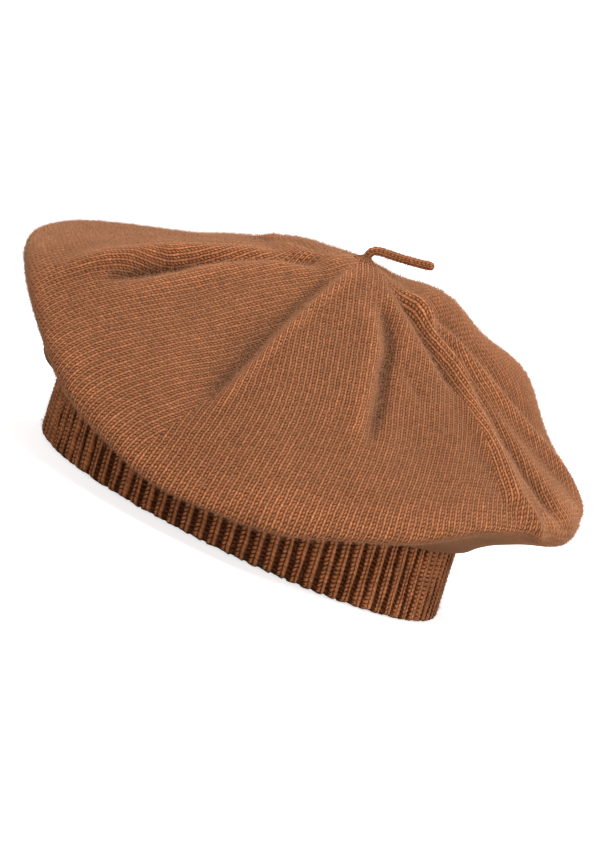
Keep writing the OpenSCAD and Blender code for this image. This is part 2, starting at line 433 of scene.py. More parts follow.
def tube(name, path, radius, sides, material, uv_scale=(2, 0.5), ply_depth=0.0, turns=0, bump=None):
    """Closed round tube along points with rounded ends, and two plies twisted along it if asked."""
    path = np.asarray(path, dtype=float)
    tangent = unit(np.gradient(path, axis=0))
    arc = np.concatenate([[0], np.cumsum(np.linalg.norm(np.diff(path, axis=0), axis=1))])
    verts = []
    coords = []
    cap = [0.0, 0.25, 0.5, 0.7, 0.87, 0.97]
    rings = [(0, -radius * (1 - c), math.sqrt(max(1e-4, 1 - (1 - c) ** 2))) for c in cap]
    rings += [(i, 0.0, 1.0) for i in range(len(path))]
    rings += [(len(path) - 1, radius * (1 - c), math.sqrt(max(1e-4, 1 - (1 - c) ** 2))) for c in cap[::-1]]
    for i, push, size in rings:
        t = tangent[i]
        side = unit(np.cross([0.0, 1.0, 0.0], t))
        up = np.cross(t, side)
        for j in range(sides):
            a = 2 * np.pi * j / sides
            twist = turns * 2 * np.pi * (arc[i] + push) / max(arc[-1], 1e-6)
            rad = radius * size * (1 + ply_depth * np.cos(2 * (a - twist)))
            if bump is not None:
                rad += size * bump(a, arc[i] + push)
            verts.append(path[i] + t * push + (side * np.cos(a) + up * np.sin(a)) * rad)
            coords.append((uv_scale[0] * j / sides, (arc[i] + push) * uv_scale[1]))
    faces = []
    n = len(rings)
    for i in range(0, (n - 1) * sides, sides):
        for j in range(sides):
            k = (j + 1) % sides
            faces.append((i + j, i + k, i + sides + k, i + sides + j))
    faces.append(tuple(range(sides))[::-1])
    faces.append(tuple(range((n - 1) * sides, n * sides)))
    return add_mesh(name, verts, faces, material, coords)


# ---- materials ----

class Nodes:
    """Short ways to add shader nodes and join them."""

    def __init__(self, name):
        self.material = bpy.data.materials.new(name)
        self.material.use_nodes = True
        self.tree = self.material.node_tree
        self.tree.nodes.clear()
        self.out = self.new("OutputMaterial")

    def new(self, kind):
        return self.tree.nodes.new("ShaderNode" + kind)

    def link(self, value, socket):
        if isinstance(value, bpy.types.NodeSocket):
            self.tree.links.new(value, socket)
        else:
            socket.default_value = value

    def math(self, op, a, b=0.0, clamp=False):
        node = self.new("Math")
        node.operation = op
        node.use_clamp = clamp
        for value, socket in zip((a, b), node.inputs):
            self.link(value, socket)
        return node.outputs[0]

    def add(self, a, b):
        return self.math("ADD", a, b)

    def sub(self, a, b):
        return self.math("SUBTRACT", a, b)

    def mul(self, a, b):
        return self.math("MULTIPLY", a, b)

    def shade(self, color, tone):
        """The colour times a grey tone."""
        return self.mix(1.0, color, self.combine(tone, tone, tone), "MULTIPLY")

    def mix(self, factor, a, b, mode="MIX"):
        node = self.new("Mix")
        node.data_type = "RGBA"
        node.blend_type = mode
        self.link(factor, node.inputs[0])
        self.link(a, node.inputs[6])
        self.link(b, node.inputs[7])
        return node.outputs[2]

    def ramp(self, value, low, high, to_low=0.0, to_high=1.0):
        node = self.new("MapRange")
        node.interpolation_type = "SMOOTHSTEP"
        for v, socket in zip((value, low, high, to_low, to_high), node.inputs):
            self.link(v, socket)
        return node.outputs[0]

    def knit_uv(self):
        node = self.new("UVMap")
        node.uv_map = "knit"
        split = self.new("SeparateXYZ")
        self.link(node.outputs[0], split.inputs[0])
        return split.outputs[0], split.outputs[1]

    def combine(self, x, y, z=0.0):
        node = self.new("CombineXYZ")
        for v, socket in zip((x, y, z), node.inputs):
            self.link(v, socket)
        return node.outputs[0]

    def place(self):
        return self.new("TexCoord").outputs["Object"]

    def noise(self, vector, scale, detail=2.0, rough=0.5):
        node = self.new("TexNoise")
        self.link(vector, node.inputs["Vector"])
        node.inputs["Scale"].default_value = scale
        node.inputs["Detail"].default_value = detail
        node.inputs["Roughness"].default_value = rough
        return node.outputs["Fac"]

    def random(self, vector):
        node = self.new("TexWhiteNoise")
        node.noise_dimensions = "2D"
        self.link(vector, node.inputs["Vector"])
        return node.outputs["Value"]

    def bump(self, height, distance):
        node = self.new("Bump")
        node.inputs["Distance"].default_value = distance
        self.link(height, node.inputs["Height"])
        return node.outputs[0]

    def relief(self):
        node = self.new("Attribute")
        node.attribute_name = "relief"
        return node.outputs["Fac"]

    def facing(self):
        """0 where the surface faces the viewer, 1 at grazing angles, whatever the stitches do."""
        node = self.new("LayerWeight")
        node.inputs["Blend"].default_value = 0.5
        return node.outputs["Facing"]

    def surface(self, color, normal, roughness=0.9, sheen=0.0, sheen_tint=(1, 1, 1, 1), sheen_rough=0.5):
        node = self.new("BsdfPrincipled")
        self.link(color, node.inputs["Base Color"])
        self.link(roughness, node.inputs["Roughness"])
        node.inputs["Specular IOR Level"].default_value = 0.12
        self.link(sheen, node.inputs["Sheen Weight"])
        node.inputs["Sheen Roughness"].default_value = sheen_rough
        node.inputs["Sheen Tint"].default_value = sheen_tint
        if normal is not None:
            self.link(normal, node.inputs["Normal"])
        self.link(node.outputs[0], self.out.inputs[0])
        return self.material


def srgb(*parts):
    """Linear colour of a screen colour given in 0..255."""
    return tuple(((c / 255 + 0.055) / 1.055) ** 2.4 for c in parts) + (1.0,)


# Knit colours: the wool's own colour (WOOL_MID), a painted highlight on the tops of the yarn, painted shade
# in the gaps between yarns, and a painted sheen at grazing angles.
WOOL_TOP_HIGHLIGHT = srgb(202, 130, 87)
WOOL_MID = srgb(163, 96, 55)
WOOL_GAP_SHADE = srgb(66, 30, 12)
WOOL_GRAZING_SHEEN = srgb(226, 160, 116)
HAZE = (1.0, 0.66, 0.42, 1.0)


def stitch_height(n, x, v, flat, steep):
    """Height of stockinette at column share x (-0.5..0.5) and course v: two slanting legs per stitch."""
    side = n.math("GREATER_THAN", x, 0.0)
    away = n.mul(n.math("ABSOLUTE", x), 2.0)
    slant = n.add(n.mul(side, flat - steep), steep)
    course = n.math("FRACT", n.add(v, n.mul(away, slant)))
    leg = n.sub(n.mul(away, 2.0), 1.0)
    leg = n.sub(1.0, n.mul(leg, leg))
    leg = n.math("POWER", n.math("MAXIMUM", leg, 0.0), 0.6)
    knot = n.sub(n.mul(course, 2.0), 1.0)
    knot = n.math("POWER", n.math("ABSOLUTE", knot), 3.0)
    depth = n.add(n.mul(side, -0.62), 0.95)
    along = n.sub(1.0, n.mul(knot, depth))
    return n.mul(leg, along)


def wool_finish(n, height, u, v, place, distance, sheen, painted_light_gain=1.0):
    """Colour, fuzz, relief and painted shade, light and sheen shared by every knitted piece."""
    per_stitch = n.random(n.combine(n.math("FLOOR", u), n.math("FLOOR", v)))
    fibre = n.noise(place, 2600.0, 3.0, 0.65)
    melange = n.noise(place, 420.0, 2.0, 0.6)
    broad = n.noise(place, 22.0, 2.0, 0.5)
    # Painted shade in the gaps between the yarns and a painted highlight on their tops, both following the
    # stitch height.
    color = n.mix(n.ramp(height, 0.05, 0.8), WOOL_GAP_SHADE, WOOL_MID)
    color = n.mix(n.ramp(height, 0.6, 1.0), color, WOOL_TOP_HIGHLIGHT)
    # The last factor is painted light: a paler copy of the wool for a piece that sits in shade.
    tone = n.mul(n.add(n.mul(per_stitch, 0.34), 0.83), painted_light_gain)
    tone = n.mul(tone, n.add(n.mul(melange, 0.30), 0.85))
    tone = n.mul(tone, n.add(n.mul(broad, 0.14), 0.93))
    tone = n.mul(tone, n.add(n.mul(fibre, 0.44), 0.78))
    color = n.shade(color, tone)
    strand = n.ramp(n.noise(n.combine(n.mul(u, 15.0), n.mul(v, 2.2)), 1.0, 2.0, 0.6), 0.3, 0.7)
    color = n.shade(color, n.add(n.mul(strand, 0.3), 0.85))
    # Painted sheen: the colour is mixed towards a paler tone at grazing angles, standing in for fuzz that
    # catches the light.
    edge = n.math("POWER", n.facing(), 3.5, clamp=True)
    color = n.mix(edge, color, WOOL_GRAZING_SHEEN)
    # Painted shade in the creases and painted light on the ridges, from how far the surface stands out.
    relief = n.relief()
    relief_shading = n.mul(n.ramp(relief, -2.0, 0.1, 0.4, 1.0), n.ramp(relief, 0.1, 1.8, 1.0, 1.28))
    color = n.shade(color, relief_shading)
    rough = n.add(height, n.add(n.mul(fibre, 0.22), n.mul(strand, 0.18)))
    return n.surface(color, n.bump(rough, distance), 0.92, sheen, HAZE, 0.45)


def stockinette(name, distance):
    """Plain knit: columns of slanting stitches. u counts columns, v courses."""
    n = Nodes(name)
    u, v = n.knit_uv()
    place = n.place()
    wander = n.sub(n.noise(place, 230.0, 2.0, 0.6), 0.5)
    u = n.add(u, n.mul(wander, 0.42))
    v = n.add(v, n.mul(n.sub(n.noise(place, 180.0, 2.0), 0.5), 0.8))
    x = n.sub(n.math("FRACT", u), 0.5)
    # One leg of each column is set lower than the other, which also paints it darker: painted shade on the
    # leg turned away from the light.
    height = n.mul(stitch_height(n, x, v, 0.3, 0.62), n.ramp(x, -0.06, 0.06, 0.88, 0.98))
    return wool_finish(n, height, u, v, place, distance, 0.15)


def rib_knit(name):
    """One by one rib: knit columns stand up between sunken purl channels, which are painted dark with shade.
    u counts repeats, v courses.
    """
    n = Nodes(name)
    u, v = n.knit_uv()
    place = n.place()
    u = n.add(u, n.mul(n.sub(n.noise(place, 160.0, 1.0), 0.5), 0.12))
    v = n.add(v, n.mul(n.sub(n.noise(place, 120.0, 1.0), 0.5), 0.5))
    x = n.sub(n.math("FRACT", u), 0.5)
    share = n.math("DIVIDE", x, 0.66)
    height = stitch_height(n, share, v, 0.35, 0.7)
    ridge = n.ramp(n.math("ABSOLUTE", x), 0.29, 0.37, 1.0, 0.0)
    loop = n.math("SINE", n.mul(v, 2 * math.pi))
    mottle = n.noise(place, 900.0, 1.0)
    purl = n.add(n.mul(n.mul(loop, mottle), 0.5), 0.12)
    height = n.add(n.mul(height, ridge),
                    n.mul(purl, n.sub(1.0, ridge)))
    # The band's wool is painted 1.5 times paler: painted light that lifts the shade the crown casts on the
    # band.
    return wool_finish(n, height, u, v, place, 0.0008, 0.12, 1.5)


def plied_yarn(name):
    """Smooth plied yarn for seams, stitches and the knot."""
    n = Nodes(name)
    place = n.place()
    ply = n.noise(place, 1500.0, 3.0, 0.6)
    height = n.ramp(ply, 0.3, 0.7)
    # Painted shade in the grooves between the plies.
    color = n.mix(height, WOOL_GAP_SHADE, WOOL_MID)
    return n.surface(color, n.bump(height, 0.0002), 0.85, 0.4, HAZE, 0.5)


def loose_fibre(name):
    """Single wool fibres, some of them glossier than others."""
    n = Nodes(name)
    gloss = n.ramp(n.noise(n.place(), 700.0, 1.0), 0.3, 0.7, 0.1, 0.8)
    return n.surface(srgb(186, 128, 91), None, 0.8, gloss, HAZE)


def elastic_yarn(name):
    """Pale thread wound round a rubber core."""
    n = Nodes(name)
    place = n.place()
    wrap_noise = n.noise(place, 1800.0, 2.0)
    color = n.mix(n.ramp(wrap_noise, 0.35, 0.65), srgb(176, 168, 156), srgb(226, 220, 208))
    return n.surface(color, n.bump(wrap_noise, 0.0001), 0.5)


def woven_tape(name):
    """Blank woven label tape: fine plain weave, with thicker woven edges."""
    n = Nodes(name)
    u, v = n.knit_uv()
    warp = n.math("SINE", n.mul(u, 2 * math.pi * 70))
    weft = n.math("SINE", n.mul(v, 2 * math.pi * 70))
    weave = n.add(n.mul(n.mul(warp, weft), 0.5), 0.5)
    edge = n.ramp(n.math("ABSOLUTE", n.sub(u, 0.5)), 0.44, 0.46)
    color = n.mix(weave, srgb(205, 196, 180), srgb(238, 232, 220))
    color = n.mix(n.mul(edge, 0.6), color, srgb(150, 110, 84))
    return n.surface(color, n.bump(n.add(weave, edge), 0.00012), 0.7, 0.1)


# ---- knitted crown ----

def build_crown(knit, yarn, fuzz):
    """The gores, their loose fibres, the underside, the rounds at the band and the yarn in the joins."""
    theta, s, outer, r, arc, relief = crown_grid()
    normal = grid_normals(outer)
    inner = outer - normal * KNIT
    fold_row = TOP_ROWS + int(GORE_WRAP * UNDER_ROWS)
    step = 360.0 / COLUMNS
    seam_cols = [int(round(a / step)) for a in SEAMS]
    for k in range(4):
        first = seam_cols[k]
        last = seam_cols[k + 1] if k < 3 else seam_cols[0] + COLUMNS
        count = np.arange(first, last + 1)
        cols = count % COLUMNS
        uv = knit_coordinates(count * step, GRAIN[k], s, r[cols], arc[cols])
        uv[..., 0] += taken_up(outer[cols], r[cols], count * step, GRAIN[k], s)
        top = slice(0, fold_row + 1)
        name = "gore_" + GORE_NAMES[k]
        gore = thick_sheet(name + "_knit", outer[cols, top], inner[cols, top], uv[:, top], knit)
        add_relief(gore, relief[cols, top])
        set_normals(gore, normal[cols, top])
        fit(gore, "crown_knit", "crown", GORE_NODES[k])
        top = slice(3, fold_row + 1)
        build_fuzz(name + "_fuzz", outer[cols, top], normal[cols, top], FUZZ_PER_GORE, "crown", fuzz, 20 + k)
    build_under_panels(outer, inner, normal, relief, arc, theta, fold_row, knit)
    build_join_yarn(outer, normal, seam_cols, fold_row, yarn)
    build_brim_round(outer, arc, theta, knit)


def taken_up(points, r, theta, grain, s):
    """Extra stitch columns that the folds of one gore take up, counted from its grain line."""
    width = np.linalg.norm(np.diff(points, axis=0), axis=2)
    plain = (r[1:] + r[:-1]) / 2 * np.radians(360.0 / COLUMNS)
    extra = np.cumsum(np.clip(width - plain, 0, None), axis=0) / WALE_WIDTH
    extra = np.concatenate([np.zeros((1, extra.shape[1])), extra])
    middle = int(np.argmin(np.abs(theta - grain)))
    return (extra - extra[middle]) * smooth(s, 0.02, 0.36)[None, :]


def set_normals(obj, normal):
    """Shades a thick sheet with the whole crown's normals, so that pieces meet without an edge."""
    flat = normal.reshape(-1, 3)
    both = np.concatenate([flat, -flat])
    obj.data.normals_split_custom_set_from_vertices(both.tolist())


def add_relief(obj, relief):
    """Stores how far each point stands out: the materials paint shade into the creases and light onto the
    ridges from it.
    """
    layer = obj.data.attributes.new("relief", "FLOAT", "POINT")
    layer.data.foreach_set("value", np.tile(relief.reshape(-1), 2).astype(np.float32))


def sector_columns(k):
    """Column numbers of sector k."""
    per = COLUMNS // SECTORS
    return np.arange(k * per, (k + 1) * per + 1)


def straight_uv(theta, arc):
    """Stitch columns that run straight out from the centre, and courses counted along them."""
    u = np.broadcast_to((RIM_WALES * theta / 360)[:, None], arc.shape)
    return np.stack([u, (arc + APEX_R) / COURSE], axis=2)


def sector_ends(k, start, end):
    """Start and end points along the middle of sector k."""
    mid = 2 * math.pi * (k + 0.5) / SECTORS
    out = Vector((-math.sin(mid), -math.cos(mid), 0)) * MM
    shift = Vector((BAND_LEAN * MM, 0, 0))
    return tuple(out * start + shift), tuple(out * end + shift)


def build_under_panels(outer, inner, normal, relief, arc, theta, fold_row, knit):
    """The rim's underside in equal sectors between the crown and the round at the band."""
    low = slice(fold_row, None)
    for k in range(SECTORS):
        cols = sector_columns(k)
        uv = straight_uv(theta[cols], arc[cols, low])
        panel = thick_sheet("under_panel_%02d" % (k + 1), outer[cols, low], inner[cols, low], uv, knit)
        set_normals(panel, normal[cols, low])
        add_relief(panel, relief[cols, low])
        start, end = sector_ends(k, GORE_END_R, RIM_R_LEAST * math.cos(math.pi / SECTORS))
        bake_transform(panel)
        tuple(start)
        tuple(end)


def build_join_yarn(outer, normal, seam_cols, fold_row, yarn):
    """A strip of fashioning yarn inside each join."""
    pieces = []
    for k, col in enumerate(seam_cols):
        path = outer[col, 4:fold_row - 4:2] - normal[col, 4:fold_row - 4:2] * (KNIT + 1.1)
        pieces.append(tube("gore_join_%d" % (k + 1), path, 0.75, 10, yarn, ply_depth=0.22, turns=24))
    joined = join(pieces, "gore_join_yarns")
    fit(joined, "seam_yarn", "crown", "gore_joins")


def join(objects, name):
    """One object from several meshes."""
    bpy.ops.object.select_all(action="DESELECT")
    for obj in objects:
        obj.select_set(True)
    bpy.context.view_layer.objects.active = objects[0]
    bpy.ops.object.join()
    objects[0].name = name
    objects[0].data.name = name
    return objects[0]


def lean(points):
    """The band leans along X as it rises."""
    moved = np.array(points, dtype=float)
    moved[..., 0] += BAND_LEAN * np.clip(moved[..., 2], 0, BAND_H + 3) / BAND_H
    return moved


def build_brim_round(outer, arc, theta, knit):
    """Widening rounds from the band's top edge to the crown's underside, in the same sectors."""
    rows = 12
    t = np.linspace(0, 1, rows + 1)[None, :, None]
    end = outer[:, -1]
    ang = np.radians(theta)
    height = np.full_like(ang, BAND_H + 2.2)
    top = lean(np.stack([-BAND_TOP_R * np.sin(ang), -BAND_TOP_R * np.cos(ang), height], axis=1))
    mid = (top + end) / 2
    mid[:, 2] += 1.0
    sheet = end[:, None] * (1 - t) ** 2 + 2 * mid[:, None] * t * (1 - t) + top[:, None] * t ** 2
    normal = grid_normals(sheet)
    normal = np.where(normal[..., 2:] > 0, -normal, normal)
    under = sheet - normal * KNIT
    for k in range(SECTORS):
        cols = sector_columns(k)
        uv = straight_uv(theta[cols], arc[cols, -1:] + np.linspace(0, 12, rows + 1))
        piece = thick_sheet("brim_round_%02d" % (k + 1), sheet[cols], under[cols], uv, knit)
        set_normals(piece, normal[cols])
        start, end_at = sector_ends(k, BAND_TOP_R + 0.3, GORE_END_R * math.cos(math.pi / SECTORS))
        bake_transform(piece)
        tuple(start)
        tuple(end_at)
        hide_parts("under_brim")


# ---- fuzz ----

def bilinear(grid, i, j, a, b):
    """Values of a [column, row] grid inside cell (i, j) at shares a and b."""
    near = grid[i, j] * (1 - b) + grid[i, j + 1] * b
    far = grid[i + 1, j] * (1 - b) + grid[i + 1, j + 1] * b
    return near * (1 - a) + far * a


def build_fuzz(name, points, normal, count, body, material, seed):
    """Fine loose fibres, each a thin spike, standing out of a surface given as a [column, row] grid."""
    rng = np.random.default_rng(seed)
    cell = np.cross(points[1:, :-1] - points[:-1, :-1], points[:-1, 1:] - points[:-1, :-1])
    weight = np.cumsum(np.linalg.norm(cell, axis=2).ravel())
    pick = np.searchsorted(weight, rng.uniform(0, weight[-1], count))
    i, j = np.divmod(pick, points.shape[1] - 1)
    a = rng.uniform(0, 1, (count, 1))
    b = rng.uniform(0, 1, (count, 1))
    up = unit(bilinear(normal, i, j, a, b))
    root = bilinear(points, i, j, a, b) - up * 0.2
    side = unit(np.cross(up, rng.normal(size=(count, 3))))
    tilt = np.radians(rng.uniform(10, 75, (count, 1)))
    along = up * np.cos(tilt) + side * np.sin(tilt)
    length = np.clip(rng.lognormal(math.log(FUZZ_LENGTH), 0.4, (count, 1)), 0.5, 3.6)
    across = unit(np.cross(along, up))
    third = np.cross(along, across)
    verts = np.empty((count, 4, 3))
    for k in range(3):
        turn = 2 * math.pi * k / 3
        verts[:, k] = root + (across * math.cos(turn) + third * math.sin(turn)) * FUZZ_R
    verts[:, 3] = root + along * length
    sides = np.array([(2, 1, 0), (0, 1, 3), (1, 2, 3), (2, 0, 3)])
    loops = (np.arange(count)[:, None] * 4 + sides.ravel()).ravel()
    mesh = bpy.data.meshes.new(name)
    mesh.vertices.add(count * 4)
    mesh.vertices.foreach_set("co", (verts * MM).astype(np.float32).ravel())
    mesh.loops.add(len(loops))
    mesh.loops.foreach_set("vertex_index", loops.astype(np.int32))
    mesh.polygons.add(count * 4)
    mesh.polygons.foreach_set("loop_start", np.arange(0, len(loops), 3, dtype=np.int32))
    mesh.update(calc_edges=True)
    mesh.materials.append(material)
    fit(add_object(name, mesh), "crown_knit", body)


def outward(normal, points):
    """Turns a ring's normals away from its axis."""
    middle = points.mean(axis=(0, 1))
    sign = np.sign(np.sum(normal * (points - middle) * [1, 1, 0]))
    return normal * sign


# ---- band ----

def rib_wave(phase):
    """1 on the knit columns, 0 in the purl channels."""
    x = np.abs((phase % 1.0) - 0.5)
    return 1 - smooth(x, 0.26, 0.42)


def build_band(rib, fuzz):
    """Doubled rib: outer ply, top edge with the slot between the plies, inner ply and folded hem.

    The inner ply is pressed outward a little behind the two labels.
    """
    outer_z = np.linspace(2.2, BAND_H, 64)
    profile = [(BAND_R_OUT, z, 1.0) for z in outer_z]
    profile.append((SLOT_OUT + 1.0, BAND_H + 0.4, 0.3))
    profile += [(SLOT_OUT, z, 0.0) for z in (BAND_H, 20, 3)]
    profile += [(SLOT_IN, z, 0.0) for z in (3, 20, BAND_H)]
    profile.append((SLOT_IN - 0.9, BAND_H + 0.4, -0.3))
    profile += [(BAND_R_IN, z, -1.0) for z in outer_z[::-4]]
    mid = (BAND_R_IN + BAND_R_OUT) / 2
    for angle in (-70, -35, 0, 35, 70):
        a = math.radians(angle)
        profile.append((mid + 2.25 * math.sin(a), 2.2 - 2.2 * math.cos(a), math.sin(a)))
    rng = np.random.default_rng(7)
    wide = rng.uniform(-0.05, 0.05, RIBS)
    shift = rng.uniform(-0.06, 0.06, RIBS)
    phases = rng.uniform(0, 6.28, RIBS)

    def shape(angles, r, z, k):
        side = profile[k][2]
        turns = angles * RIBS / (2 * np.pi)
        rib_no = np.floor(turns + 0.001).astype(int) % RIBS
        sway = shift[rib_no] + 0.04 * np.sin(z / 5.0 + phases[rib_no])
        local = (turns % 1.0 - 0.5) * (1 + wide[rib_no]) + sway * window(turns % 1.0, 0.0, 0.2, 0.8, 1.0)
        wave = rib_wave(local + 0.5)
        legs = 0.16 * np.cos(4 * np.pi * local) * wave
        course = np.cos(2 * np.pi * (z / COURSE + np.abs(local) * 1.6 + phases[rib_no]))
        if side > 0:
            push = side * (1.15 * wave - 1.2 * (1 - wave) - legs + course * (0.12 + 0.1 * wave))
        else:
            pressed = window(np.degrees(angles), 48, 56, 92, 104)
            push = -side * (0.85 - (0.75 - 0.55 * pressed) * wave + 0.72 * pressed)
        wander = 0.5 if side > 0 else 0.15
        rad = r + push + wander * np.sin(3 * angles + 0.7) * smooth(np.array(z), 5, BAND_H)
        edge = 1 - smooth(np.array(z), 0.0, 3.0)
        rise = z + edge * (0.45 * (1 - wave) + 0.25 * np.sin(5 * turns + phases[rib_no]) * wave + 0.2)
        return lean(np.stack([rad * np.cos(angles), rad * np.sin(angles), rise], axis=1))

    lengths = [0.0]
    for k in range(len(profile)):
        a = profile[k]
        b = profile[(k + 1) % len(profile)]
        lengths.append(lengths[-1] + math.hypot(a[0] - b[0], a[1] - b[1]))

    def uv_of(share, j):
        return np.stack([share * RIBS, np.full_like(share, lengths[j] / COURSE)], axis=1)

    band = revolve("headband_rib", [(p[0], p[1]) for p in profile], RIB_STEPS, shape, uv_of, rib)
    fit(band, "rib_knit", "headband", "headband")
    around = np.arange(RIB_STEPS + 1) * 2 * np.pi / RIB_STEPS
    surface = np.stack([shape(around, BAND_R_OUT, z, 0) for z in outer_z[::3]], axis=1)
    normal = outward(grid_normals(surface), surface)
    build_fuzz("headband_fuzz", surface, normal, BAND_FUZZ, "headband", fuzz, 31)


def torus(name, radius, z, thick, material, columns, sides, depth=0.0, turns=0):
    """Ring of yarn in the band, with two plies twisted along it where depth isn't 0."""
    def shape(angles, r, zz, k):
        a = 2 * np.pi * k / sides
        rad = thick * (1 + depth * np.cos(2 * a + turns * angles))
        away = radius + rad * np.cos(a)
        return lean(np.stack([away * np.cos(angles), away * np.sin(angles), z + rad * np.sin(a)], axis=1))

    def uv_of(share, j):
        return np.stack([share * radius * 2, np.full_like(share, j / sides)], axis=1)

    return revolve(name, [(radius, z)] * sides, columns, shape, uv_of, material)


def build_band_yarns(yarn, elastic):
    """The linking seam on top of the band, and three elastic yarns between its plies."""
    seam = torus("linking_seam_yarn", 90.4, BAND_H + 1.35, 0.95, yarn, 1020, 12, depth=0.28, turns=170)
    fit(seam, "seam_yarn", "headband", "linking_seam")
    middle = (SLOT_IN + SLOT_OUT) / 2
    rings = [torus("elastic_%d" % z, middle, z, 0.35, elastic, 180, 8) for z in (10, 20, 30)]
    fit(join(rings, "elastic_yarn_rings"), "elastic", "headband", "elastic_yarns")


# ---- centre and stalk ----

def build_centre(knit):
    """Drawn-up stitches between the gores' tips and the stalk: a low pleated cone."""
    columns = 160
    rows = [(APEX_R + 0.6, 125.4), (APEX_R - 0.2, 126.3), (4.6, 126.9), (3.6, 127.4), (2.7, 127.9)]
    rows += [(2.0, 128.6), (1.6, 129.3)]
    rows_in = [(max(r - 0.9, 0.5), z - 1.6) for r, z in rows[::-1]]
    loop = rows + rows_in

    def shape(angles, r, z, k):
        pleat = 0.22 * np.cos(9 * angles) * min(1.0, (r - 1.0) / 3) * (1 if k < len(rows) else 0)
        return np.stack([r * np.cos(angles), r * np.sin(angles), z + pleat], axis=1)

    def uv_of(share, j):
        return np.stack([share * 16, np.full_like(share, j * 0.55)], axis=1)

    cone = revolve("closing_ring_knit", loop, columns, shape, uv_of, knit)
    fit(cone, "crown_knit", "crown", "closing_ring")


def stalk_path():
    """Middle line of the cord, from under the crown up through the centre and over to the right."""
    foot = [(0.0, 121.5), (0.0, 124.0), (0.1, 126.5), (0.15, 128.0), (0.1, 129.3), (0.6, 130.9)]
    free = [(2.0, 132.2), (4.2, 132.9), (7.5, 133.3), (12.0, 133.9), (17.0, 134.7), (22.0, 135.7)]
    x, z = np.transpose(foot + free + [(26.2, 136.6)])
    t = np.concatenate([[0], np.cumsum(np.hypot(np.diff(x), np.diff(z)))])
    fine = np.linspace(0, t[-1], 260)
    px = smooth_line(fine, t, x)
    pz = smooth_line(fine, t, z)
    return np.stack([px, 0 * px, pz], axis=1)


def smooth_line(fine, t, values):
    """Interpolates, then rounds the corners with a short running mean."""
    line = np.interp(fine, t, values)
    pad = 9
    padded = np.concatenate([2 * line[0] - line[pad:0:-1], line, 2 * line[-1] - line[-2:-pad - 2:-1]])
    kernel = np.hanning(2 * pad + 1)
    kernel /= kernel.sum()
    return np.convolve(padded, kernel, mode="valid")


def build_stalk(cord_knit, yarn, fuzz):
    """Knitted cord that curves from its root over to its free part, its loose fibres, and its knot."""
    wales = 6

    def bump(a, arc):
        course = 0.10 * np.cos(2 * np.pi * (arc / CORD_COURSE + 0.5 * np.abs(np.sin(a * wales / 2))))
        return 0.10 * np.abs(np.sin(a * wales / 2)) + course

    cord = tube("stalk_cord", stalk_path(), CORD_R, 48, cord_knit, (wales, 1 / CORD_COURSE), bump=bump)
    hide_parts("stalk", "stalk_root")
    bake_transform(cord)
    path = stalk_path()[::4]
    path = path[path[:, 2] > 131.9]
    along = unit(np.gradient(path, axis=0))
    turns = np.linspace(0, 2 * np.pi, 25)[:, None, None]
    side = unit(np.cross([0.0, 1.0, 0.0], along))
    away = side * np.cos(turns) + np.cross(along, side) * np.sin(turns)
    build_fuzz("stalk_fuzz", path[None] + away * CORD_R, away, STALK_FUZZ, "stalk", fuzz, 41)
    t = np.linspace(0, 2 * np.pi, 121)
    knot = np.stack([(np.sin(t) + 2 * np.sin(2 * t)) * 0.75, (np.cos(t) - 2 * np.cos(2 * t)) * 0.75,
                     119.4 - np.sin(3 * t) * 0.75], axis=1)
    knot = tube("anchor_knot_yarn", knot, 0.62, 10, yarn, ply_depth=0.2, turns=14)
    fit(knot, "seam_yarn", "stalk_root", "anchor_knot")


# ---- labels ----

def label_loop(height, low_z):
    """Cross-section (y, z) of a folded tape: up the inner leaf, over the fold and down the outer leaf."""
    leaf = []
    for k in range(LEAF_POINTS):
        gap = 0.4 * min(1.0, 0.35 + k / 4) + 0.25 * math.sin(math.pi * k / LEAF_POINTS)
        leaf.append((gap, low_z + (height - FOLD_H) * k / (LEAF_POINTS - 1)))
    fold = [math.pi * k / FOLD_STEPS for k in range(1, FOLD_STEPS)]
    over = [(-0.4 * math.cos(a), low_z + height - FOLD_H + 0.6 * math.sin(a)) for a in fold]
    return [(-y, z) for y, z in leaf] + over + leaf[::-1]


def build_label(node, width, height, turn, tape):
    """Folded tape with a soft bulge, a narrow foot and slightly bowed edges. It rides its own body."""
    low_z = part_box(node)[0][2] / MM
    loop = label_loop(height, low_z)
    cols = 13
    grid = np.empty((cols, len(loop), 3))
    coords = np.empty((cols, len(loop), 2))
    for i in range(cols):
        x = (i / (cols - 1) - 0.5) * width
        for j, (y, z) in enumerate(loop):
            bow = 0.5 * (2 * x / width) ** 2 * (z - low_z) / height
            grid[i, j] = (x, LABEL_Y + y - bow, z)
            coords[i, j] = (i / (cols - 1), j / (len(loop) - 1) * 2)
    thin = grid.copy()
    for j, (y, z) in enumerate(loop):
        inward = TAPE_THICK if abs(y) > 1e-6 else 0
        thin[:, j, 1] = grid[:, j, 1] - np.sign(y) * inward
        step = j - LEAF_POINTS + 1
        if 0 < step < FOLD_STEPS:
            thin[:, j, 2] -= TAPE_THICK * math.sin(math.pi * step / FOLD_STEPS)
    label = thick_sheet(node + "_tape", turned(grid, turn), turned(thin, turn), coords, tape)
    fit(label, "label_tape", node, node)


def build_label_stitches(yarn):
    """Short slanting stitches from the linking seam to the labels' lower edges."""
    loops = []
    t = np.linspace(0, 1, 14)
    for turn, width, count in ((0, 22, 5), (SIZE_LABEL_TURN, 8, 3)):
        for i in range(count):
            x = (i / (count - 1) - 0.5) * width
            path = np.stack([x + 0.8 * (t - 0.5), 86.75 + 2.2 * t, 36.1 + 0.5 * np.sin(np.pi * t)], axis=1)
            loops.append(tube("label_stitch", turned(path, turn), 0.26, 8, yarn))
    fit(join(loops, "label_stitch_yarn"), "seam_yarn", "headband", "label_stitches")


